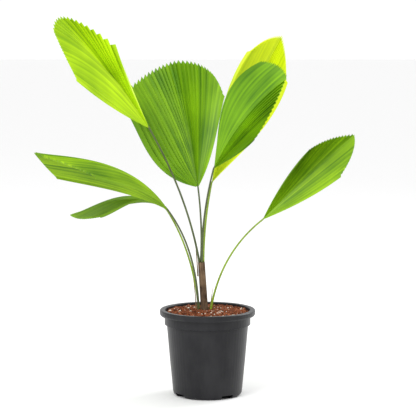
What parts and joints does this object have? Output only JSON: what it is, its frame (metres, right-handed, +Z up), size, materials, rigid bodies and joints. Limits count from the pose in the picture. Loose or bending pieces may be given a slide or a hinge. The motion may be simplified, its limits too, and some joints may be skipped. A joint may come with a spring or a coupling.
{
  "type": "potted ruffled fan palm",
  "caption": "Young ruffled fan palm with pleated fan leaves on slender stalks, a short fibrous stem and a round nursery pot of bark mix.",
  "frame": {"origin": "centre of the pot's flat underside", "axes": "+Z up along the pot's axis, -Y towards the plant's front, +X to the right as seen from the front"},
  "size_m": [0.693, 0.402, 0.8314],
  "materials": {
    "black_plastic": "satin moulded",
    "bark_mix": "rough chips",
    "fibrous_stem": "fibrous",
    "old_sheath": "dry fibre",
    "leaf_stalk": "smooth",
    "leaf_blade": "pleated, slightly glossy"
  },
  "bodies": {
    "root": {"pot": "black_plastic", "potting_mix": "bark_mix", "stem": "fibrous_stem", "sheath_left": "old_sheath", "sheath_right": "old_sheath", "sheath_top": "old_sheath", "stalk_back": "leaf_stalk", "stalk_upper_left": "leaf_stalk", "stalk_right_front": "leaf_stalk", "stalk_right_back": "leaf_stalk", "stalk_lower_right": "leaf_stalk", "stalk_lower_left": "leaf_stalk", "stalk_under_left": "leaf_stalk", "blade_back": "leaf_blade", "blade_upper_left": "leaf_blade", "blade_right_front": "leaf_blade", "blade_right_back": "leaf_blade", "blade_lower_right": "leaf_blade", "blade_lower_left": "leaf_blade", "blade_under_left": "leaf_blade"}
  },
  "joints": []
}
